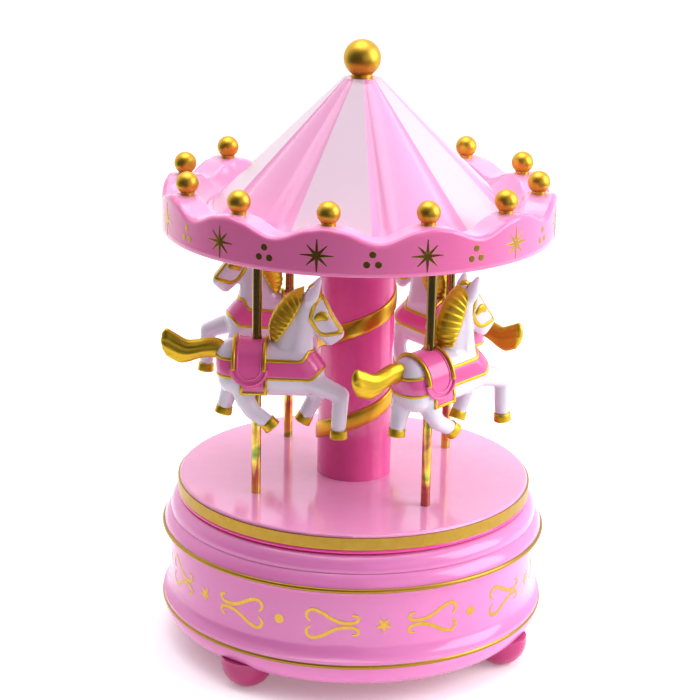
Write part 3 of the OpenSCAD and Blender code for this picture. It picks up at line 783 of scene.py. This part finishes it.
# %% Mane
def along(points, t):
    """Point on a smooth curve through points, t from 0 to 1."""
    path = smooth_path(points, 8)
    place_on = t * (len(path) - 1)
    i = min(int(place_on), len(path) - 2)
    share = place_on - i
    return tuple(a + (b - a) * share for a, b in zip(path[i], path[i + 1]))

CREST_ARC = [(4.0, 97.9), (3.4, 100.2), (3.6, 102.8), (4.9, 106.0), (7.3, 109.6),
    (10.2, 112.1), (13.3, 113.4)]
FALL_LINE = [(5.8, 98.2), (7.8, 100.6), (9.6, 103.0), (11.2, 105.8), (12.4, 108.6),
    (13.1, 111.0), (13.9, 113.0)]
LOCKS = 10
rows = []
for i in range(LOCKS * 8 + 1):
    t = i / (LOCKS * 8)
    outer, inner = along(CREST_ARC, t), along(FALL_LINE, 0.76 * t)
    tooth = (t * LOCKS) % 1.0
    rise = 0.8 * (tooth ** 1.3 if tooth < 0.84 else (1 - tooth) / 0.16 * 0.8)
    neck_half = 4.35 - 1.1 * t
    side = []
    for j in range(9):
        u = j / 8
        x, z = (inner[c] + (outer[c] - inner[c]) * u for c in (0, 1))
        x -= 0.35 * rise * u
        lock = rise * 0.55 * (1 - u ** 3) * min(1, u * 4 + 0.35)
        half = (neck_half * (1 - u ** 1.7) ** 0.62 * 0.9 + 0.4) + lock
        side.append((x, half, z))
    rows.append([Vector((x, -h, z)) for x, h, z in side] + [Vector((x, h, z)) for x, h, z in reversed(side)])
mane = net(rows, close_cols=True, caps=True)
print("mane of", LOCKS, "locks,", len(mane[0]), "points")

# %% [markdown]
# The tail streams out behind. Its section is an oval between an upper and a lower line; grooves
# run along it and grow deeper towards the flared end, which is rounded off.

# %% Tail
TOP_LINE = [(-8.5, 95.8), (-10.8, 97.2), (-14.0, 97.4), (-17.3, 96.7), (-20.1, 96.6),
    (-22.7, 98.0), (-25.6, 99.7)]
LOW_LINE = [(-8.5, 91.2), (-11.0, 91.4), (-14.2, 91.5), (-17.0, 90.9), (-19.4, 90.0),
    (-22.2, 89.6), (-25.4, 91.2)]
rows = []
for i in range(41):
    t = i / 40
    top, low = along(TOP_LINE, min(t / 0.94, 1.0)), along(LOW_LINE, min(t / 0.94, 1.0))
    close = 1.0
    push = 0.0
    if t > 0.94:
        turn = (t - 0.94) / 0.06 * math.pi / 2
        close, push = max(0.12, math.cos(turn)), 1.9 * math.sin(turn)
    mid = ((top[0] + low[0]) / 2 - push, (top[1] + low[1]) / 2 + push * 0.25)
    reach = ((top[0] - low[0]) / 2 * close, (top[1] - low[1]) / 2 * close)
    thick = (1.5 + 0.75 * math.sin(math.pi * min(1.0, t * 1.15))) * (0.35 + 0.65 * close)
    row = []
    for j in range(48):
        a = 2 * math.pi * j / 48
        groove = 1 - (0.03 + 0.09 * t) * (0.5 + 0.5 * math.cos(9 * a + 0.6))
        c, s = math.cos(a), math.sin(a)
        row.append(Vector((mid[0] + reach[0] * c, thick * s * groove, mid[1] + reach[1] * c)))
    rows.append(row)
tail = net(rows, close_cols=True, caps=True)
print("tail:", len(tail[0]), "points")

# %% [markdown]
# Hooves are short gilded blocks with soft corners, barely wider than the leg. Each is
# set square to the end of its leg.

# %% Hooves
def hoof(ankle, toe, size):
    start, end = Vector(ankle), Vector(toe)
    down = (end - start).normalized()
    side = Vector((0, 1, 0))
    front = side.cross(down).normalized()
    rows = []
    for share, grow in ((0, 0.97), (0.03, 1.0), (0.4, 1.01), (0.8, 1.05), (0.94, 1.06), (1.0, 0.97)):
        centre = start.lerp(end, share)
        row = []
        for j in range(32):
            a = 2 * math.pi * j / 32
            c, s = math.cos(a), math.sin(a)
            blunt = (abs(c) ** 2.4 + abs(s) ** 2.4) ** (-1 / 2.4)
            row.append(centre + (front * c * 1.06 + side * s * 0.94) * blunt * size * grow)
        rows.append(row)
    return net(rows, close_cols=True, caps=True)

hooves = [
    hoof((23.9, -3.7, 72.3), (23.9, -3.7, 69.8), 2.25),
    hoof((14.0, 3.7, 74.2), (12.8, 3.7, 71.9), 2.2),
    hoof((3.3, -3.7, 74.3), (5.1, -3.7, 72.3), 2.25),
    hoof((-9.6, 3.7, 75.9), (-10.1, 3.7, 73.7), 2.25),
]
print("hooves:", len(hooves))

# %% [markdown]
# Painted lines and patches lie on the body like tape: each point of the path is brought to the
# nearest place on the body, and the line gets a low rounded section there. The belt is a pink
# band round the barrel between two gold lines.

# %% Tape on the body
def on_body(point, lift=0.0):
    near, normal, _, _ = body_tree.find_nearest(Vector(point))
    return near + normal * lift, normal

TAPE_SECTION = [(-1, -0.3), (-1, 0.3), (-0.75, 0.85), (-0.35, 1),
    (0.35, 1), (0.75, 0.85), (1, 0.3), (1, -0.3)]

def tape(path, width, lift, closed=False, taper=False):
    rows = []
    n = len(path)
    for i, p in enumerate(path):
        here, normal = on_body(p)
        a = Vector(path[(i - 1) % n] if closed or i else path[0])
        b = Vector(path[(i + 1) % n] if closed or i < n - 1 else path[-1])
        across = (b - a).cross(normal).normalized()
        w = width / 2 * (math.sin(math.pi * (0.06 + 0.88 * i / (n - 1))) ** 0.6 if taper else 1.0)
        row = []
        for share, height in TAPE_SECTION:
            place_at, up = on_body(here + across * w * share)
            row.append(place_at + up * (lift * height if height > 0 else -0.35))
        rows.append(row)
    return net(rows, close_rows=closed, close_cols=True, caps=not closed)

BELT_LOW, BELT_HIGH = 87.7, 92.9

def barrel_loop(z):
    """A closed run of points on the body round the barrel, at height z at the flanks."""
    loop = []
    for i in range(96):
        quarter, share = i // 24, i % 24 / 24
        if quarter in (0, 2):
            sign = -1 if quarter == 0 else 1
            x, y = (-6 + 20 * share, sign * 8.5) if quarter == 0 else (14 - 20 * share, 8.5)
        else:
            a = math.radians((-90 if quarter == 1 else 90) + 180 * share)
            x, y = (14 if quarter == 1 else -6) + 8.5 * math.cos(a), 8.5 * math.sin(a)
        turn_at = 16.2 - (z - BELT_LOW) / (BELT_HIGH - BELT_LOW) * 3.6
        round_chest = min(1.0, max(0.0, (x - turn_at) / 4.5))
        level = z + 2.2 * round_chest * round_chest * (3 - 2 * round_chest)
        target = Vector((min(13.5, max(-5.5, x)), 0, level))
        start = Vector((x, y, level))
        hit = body_tree.ray_cast(start, target - start)
        loop.append(hit[0] if hit[0] is not None else target)
    return loop

def band(z_low, z_high, lift, steps=7):
    """A wide strip round the barrel between two heights."""
    loops = [barrel_loop(z_low + (z_high - z_low) * i / (steps - 1)) for i in range(steps)]
    rows = []
    for i in range(len(loops[0])):
        near = [on_body(loop[i]) for loop in loops]
        rows.append([p + n * lift for p, n in near] + [p - n * 0.3 for p, n in reversed(near)])
    return net(rows, close_rows=True, close_cols=True)

def level_line(z, width, lift):
    return tape(barrel_loop(z), width, lift, closed=True)

belt_pink = band(BELT_LOW, BELT_HIGH, 0.1)
belt_gold = [level_line(BELT_LOW, 0.9, 0.24), level_line(BELT_HIGH, 0.9, 0.24)]
print("belt:", len(belt_pink[0]), "points")

# %% Bridle and eye
def both_sides(path, width, lift, taper=False, depth=4.0):
    out = []
    for s in (-1, 1):
        pts = smooth_path([(x, s * (y if y is not None else depth), z) for x, y, z in path], 6)
        out.append(tape(pts, width, lift, taper=taper))
    return out

bridle = both_sides([(18.9, 0.6, 111.6), (20.6, 1.4, 108.0), (22.6, 1.6, 104.2), (24.4, 1.3, 101.0)],
    1.15, 0.24)
bridle += both_sides([(24.4, 1.4, 101.2), (22.2, 2.8, 100.4), (19.2, 3.0, 99.9), (17.6, 2.6, 100.4)],
    1.15, 0.24)
bridle += both_sides([(18.6, 1.6, 111.0), (16.4, 3.2, 108.4), (15.6, 3.2, 105.0), (16.6, 3.0, 101.8),
    (17.8, 2.6, 100.2)],
    1.15, 0.24)
eyes = both_sides([(16.7, 3.4, 104.2), (17.8, 3.4, 105.3), (19.1, 3.2, 105.6), (20.4, 3.0, 104.6)],
    2.6, 0.4, taper=True)
tuft = both_sides([(13.6, 1.2, 113.2), (15.6, 1.2, 113.4), (17.6, 1.1, 112.2), (18.8, 0.9, 110.6)],
    1.3, 0.35, taper=True)
print("bridle strips:", len(bridle), "eyes:", len(eyes))

# %% [markdown]
# The saddle is a skin over the barrel: a seat that narrows into a U-shaped flap on both sides,
# with a raised roll round its edge, gilded above and pink below, and a fainter line inside it.
# The skin follows a fixed arc over the back and runs straight down the sides. The girth flap hangs below.

# %% Saddle skin
FLAP_X, FLAP_HALF, FLAP_TURN = -1.6, 4.9, 90.7
SIDE, BACK = 6.95, 90.8

def over_back(path_length, lift):
    """A point over the back: 0 is the top, and each side runs round and then straight down."""
    side = 1 if path_length >= 0 else -1
    reach = abs(path_length)
    bend = SIDE * math.pi / 2
    if reach < bend:
        a = reach / SIDE
        return side * (SIDE + lift) * math.sin(a), BACK + (SIDE + lift) * math.cos(a)
    return side * (SIDE + lift), BACK - (reach - bend)

FLAP_END = SIDE * math.pi / 2 + BACK - (FLAP_TURN - FLAP_HALF)

def flap_half(z, share=1.0):
    """Half the width of the saddle at height z: straight above, a half circle below."""
    size = FLAP_HALF * share
    return size if z > FLAP_TURN else math.sqrt(max(0.0, size ** 2 - (FLAP_TURN - z) ** 2))

rows = []
for i in range(121):
    reach = FLAP_END * math.sin(math.pi / 2 * (i - 60) / 60)
    z = over_back(reach, 0)[1]
    half = max(0.35, flap_half(z) if reach else FLAP_HALF)
    row = []
    for j in range(17):
        u = -1 + 2 * j / 16
        y, zz = over_back(reach, 0.22 * (1 - abs(u) ** 6) - 0.1)
        row.append(Vector((FLAP_X + u * half, y, zz)))
    for j in range(9):
        y, zz = over_back(reach, -1.5)
        row.append(Vector((FLAP_X - (-1 + 2 * j / 8) * half * 0.98, y, zz)))
    rows.append(row)
seat = net(rows, close_cols=True, caps=True)

def rope(path, radius, sides=10):
    rows = []
    for i, p in enumerate(path):
        axis = (path[min(i + 1, len(path) - 1)] - path[max(i - 1, 0)]).normalized()
        u = axis.cross(Vector((1, 0.2, 0.1))).normalized()
        v = axis.cross(u)
        spokes = [2 * math.pi * j / sides for j in range(sides)]
        rows.append([p + (u * math.cos(a) + v * math.sin(a)) * radius for a in spokes])
    return net(rows, close_cols=True, caps=True)

def flap_edge(share, lift, radius):
    """The U of each flap, from the seat down the rear edge, round and up the front edge."""
    out = []
    for s in (-1, 1):
        pts = [Vector((FLAP_X - share * FLAP_HALF * math.cos(math.pi * i / 32), s * (SIDE + lift),
            FLAP_TURN - share * FLAP_HALF * math.sin(math.pi * i / 32))) for i in range(33)]
        out.append(rope(pts, radius))
    return out

def over_edge(share, lift, radius, low_reach):
    """A roll over the back along the front or rear edge of the seat."""
    out = []
    for edge in (-1, 1):
        pts = []
        for i in range(49):
            y, z = over_back(low_reach * (i - 24) / 24, lift)
            pts.append(Vector((FLAP_X + edge * share * FLAP_HALF, y, z)))
        out.append(rope(pts, radius))
    return out

TO_TURN = SIDE * math.pi / 2 + BACK - FLAP_TURN
gilt_rolls = over_edge(0.9, 0.25, 0.6, TO_TURN + 0.6)
pink_rolls = flap_edge(1.02, 0.05, 0.5) + flap_edge(0.68, 0.05, 0.3) + over_edge(0.68, 0.05, 0.3, TO_TURN)
print("saddle:", len(seat[0]), "points; rolls:", len(gilt_rolls) + len(pink_rolls))

# %% [markdown]
# The girth flap is a flat tab below the saddle, edged with a gilt line on three sides. It is as
# thick as the gap between the flank and the thigh, so nothing shows behind it.

# %% Girth flap
def slab(x0, x1, z0, z1, y_in, y_out, soft=0.25):
    """A block with rounded outer edges, one on each side of the horse."""
    out = []
    for s in (-1, 1):
        rows = []
        for y, inset in ((y_in, 0), (y_out - soft, 0), (y_out - soft * 0.3, soft * 0.3), (y_out, soft)):
            a, b, c, d = x0 + inset, x1 - inset, z0 + inset, z1
            mid_x, mid_z = (a + b) / 2, (c + d) / 2
            outline = [(a, c), (mid_x, c), (b, c), (b, mid_z), (b, d), (mid_x, d), (a, d), (a, mid_z)]
            rows.append([Vector((x, s * y, z)) for x, z in outline])
        out.append(net(rows, close_cols=True, caps=True))
    return out

GIRTH = (-3.9, 3.3, 83.1, 88.4)
girth = slab(*GIRTH, 3.4, SIDE - 0.05)
girth_trim = slab(GIRTH[0] - 0.25, GIRTH[0] + 0.65, GIRTH[2] - 0.25, GIRTH[2] + 3.4, 5.0, SIDE + 0.15)
girth_trim += slab(GIRTH[1] - 0.65, GIRTH[1] + 0.25, GIRTH[2] - 0.25, GIRTH[2] + 4.2, 5.0, SIDE + 0.15)
girth_trim += slab(GIRTH[0] + 0.5, GIRTH[1] - 0.5, GIRTH[2] - 0.25, GIRTH[2] + 0.65, 5.0, SIDE + 0.14)
print("girth pieces:", len(girth) + len(girth_trim))

# %% [markdown]
# The finished horse is then set on each pole: turned to its heading, tilted a little, and bored
# for the pole with a boolean cut, so that it is a true ring round the rod. The frame gives each
# pole's place; heading and tilt are the design's own.

# %% Set the horses on their poles
HEADING, TILT = (-3, 40, 137, 188), (0, 6, 6, 5)
BORE = 1.43 * MM

def pole_axis(k):
    lo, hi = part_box("pole_%d" % k)
    return Vector(((lo[0] + hi[0]) / 2, (lo[1] + hi[1]) / 2, 0))

def horse_pose(k):
    lean = Matrix.Rotation(-math.radians(TILT[k - 1]), 4, "Y")
    tilt = Matrix.Translation((0, 0, 89)) @ lean @ Matrix.Translation((0, 0, -89))
    turn = Matrix.Rotation(math.radians(HEADING[k - 1]), 4, "Z")
    return Matrix.Translation(pole_axis(k)) @ turn @ Matrix.Scale(MM, 4) @ tilt

def drill(obj, axis):
    bm = bmesh.new()
    bmesh.ops.create_cone(bm, cap_ends=True, segments=64, radius1=BORE, radius2=BORE, depth=0.07,
        matrix=Matrix.Translation((axis.x, axis.y, 0.09)))
    bit_mesh = bpy.data.meshes.new("bit")
    bm.to_mesh(bit_mesh)
    bm.free()
    bit = bpy.data.objects.new("bit", bit_mesh)
    bpy.context.collection.objects.link(bit)
    cut = obj.modifiers.new("bore", "BOOLEAN")
    cut.operation, cut.solver, cut.object = "DIFFERENCE", "EXACT", bit
    mesh = baked(obj)
    bpy.data.objects.remove(bit)
    obj.data = mesh

gold_parts = [(*mane, 0), (*tail, 0)] + [(*p, 0) for p in hooves + belt_gold + bridle + eyes + tuft]
gold_parts += [(*p, 0) for p in girth_trim + gilt_rolls]
tack_parts = [(*p, 0) for p in pink_rolls + girth] + [(*belt_pink, 0)]
for k in range(1, 5):
    pose = horse_pose(k)
    body = mesh_object("horse_%d_body" % k, [pose @ v for v in body_verts], body_faces, [horse_white])
    drill(body, pole_axis(k))
    park(body, "horse_%d" % k, "horse_plastic", "horse_%d" % k)
    pad = mesh_object("horse_%d_saddle" % k, [pose @ v for v in seat[0]], seat[1], [tack_pink])
    drill(pad, pole_axis(k))
    park(pad, "horse_%d" % k, "saddle_plastic", "saddle_%d" % k)
    verts, faces, _ = several(tack_parts)
    tack = mesh_object("horse_%d_tack" % k, [pose @ v for v in verts], faces, [tack_pink])
    park(tack, "horse_%d" % k, "saddle_plastic")
    verts, faces, _ = several(gold_parts)
    gilding = mesh_object("horse_%d_gilding" % k, [pose @ v for v in verts], faces, [paint_gold])
    park(gilding, "horse_%d" % k, "plated_gold")

# %% [markdown]
# ## Studio
# A wide pale floor that glows a little, like a light table, and light from the right and behind,
# as a window or softbox there would give. The surroundings fade from bright behind to dim in
# front, so that the metals have something dark to mirror and the drum shows its roundness.

# %% Floor
floor_mat, tree, shader = fresh("studio_floor")
where = tree.nodes.new("ShaderNodeTexCoord").outputs["Object"]
speck = shader_node(tree, "ShaderNodeTexNoise", Scale=14.0, Detail=3.0)
tree.links.new(where, speck.inputs["Vector"])
paper = mix_colours(tree, (0.93, 0.93, 0.93, 1), (0.96, 0.96, 0.96, 1), speck.outputs["Fac"])
tree.links.new(paper, shader.inputs["Base Color"])
shader.inputs["Roughness"].default_value = 0.9
shader.inputs["Specular IOR Level"].default_value = 0.1
shader.inputs["Emission Color"].default_value = (1.0, 1.0, 1.0, 1)
shader.inputs["Emission Strength"].default_value = 0.22
FLOOR_R, FLOOR_BACK = 0.34, 0.12
rim = []
for a in range(0, 360, 3):
    c, s = math.cos(math.radians(a)), math.sin(math.radians(a))
    rim.append((FLOOR_R * c, FLOOR_R * s + FLOOR_BACK, 0))
floor = mesh_object("studio_floor", rim, [tuple(range(len(rim)))], [floor_mat], smooth=False)

# %% Surroundings
world = bpy.data.worlds.new("studio_surround")
bpy.context.scene.world = world
world.use_nodes = True
tree = world.node_tree
back = tree.nodes["Background"]
heading = tree.nodes.new("ShaderNodeTexCoord").outputs["Generated"]
lean = shader_node(tree, "ShaderNodeVectorMath", {"operation": "DOT_PRODUCT"})
lean.inputs[1].default_value = Vector((0.24, 0.88, 0.38)).normalized()
fade = tree.nodes.new("ShaderNodeValToRGB")
dim, bright = fade.color_ramp.elements
dim.position, dim.color = 0.30, (0.07, 0.07, 0.073, 1)
bright.position, bright.color = 0.62, (1.0, 1.0, 1.0, 1)
spread = shader_node(tree, "ShaderNodeMapRange", From_Min=-1.0, From_Max=1.0)
tree.links.new(heading, lean.inputs[0])
tree.links.new(lean.outputs["Value"], spread.inputs["Value"])
tree.links.new(spread.outputs[0], fade.inputs["Fac"])
tree.links.new(fade.outputs["Color"], back.inputs["Color"])
back.inputs["Strength"].default_value = 1.25
print("surroundings ready")

# %% Lamps
def softbox(name, place_at, target, width, height, power, colour=(1, 1, 1)):
    lamp = bpy.data.lights.new(name, "AREA")
    lamp.shape, lamp.size, lamp.size_y = "RECTANGLE", width, height
    lamp.energy, lamp.color = power, colour
    obj = bpy.data.objects.new(name, lamp)
    obj.location = place_at
    obj.rotation_euler = (Vector(target) - Vector(place_at)).to_track_quat("-Z", "Y").to_euler()
    bpy.context.collection.objects.link(obj)

middle = (0, 0, 0.09)
softbox("key_right", (0.64, -0.12, 0.34), middle, 0.5, 0.55, 3.1)
softbox("top", (-0.05, 0.05, 0.8), middle, 0.6, 0.6, 2.6)
softbox("front", (0.32, -0.62, 0.26), middle, 0.5, 0.5, 0.5)

# %% [markdown]
# The camera stands 0.58 m in front at the height of a seated person's eyes above a table, with a
# long lens, looking slightly down.

# %% Camera
YAW, PITCH, ROLL = math.radians(-0.179), math.radians(-17.279), math.radians(1.157)
ahead = Vector((math.sin(YAW) * math.cos(PITCH), math.cos(YAW) * math.cos(PITCH), math.sin(PITCH)))
level = Vector((math.cos(YAW), -math.sin(YAW), 0))
above = level.cross(ahead)
cam_x = level * math.cos(ROLL) + above * math.sin(ROLL)
cam_y = above * math.cos(ROLL) - level * math.sin(ROLL)
cam_data = bpy.data.cameras.new("camera")
cam_data.sensor_width, cam_data.lens = 36.0, 105.73
cam_data.clip_start, cam_data.clip_end = 0.01, 50.0
camera = bpy.data.objects.new("camera", cam_data)
turned = Matrix((cam_x, cam_y, -ahead)).transposed().to_4x4()
camera.matrix_world = Matrix.Translation((0, -0.5784, 0.2682)) @ turned
bpy.context.collection.objects.link(camera)
bpy.context.scene.camera = camera
bpy.context.scene.view_settings.view_transform = "Standard"
bpy.context.scene.view_settings.gamma = 0.9
print("camera at", [round(c, 4) for c in camera.location])
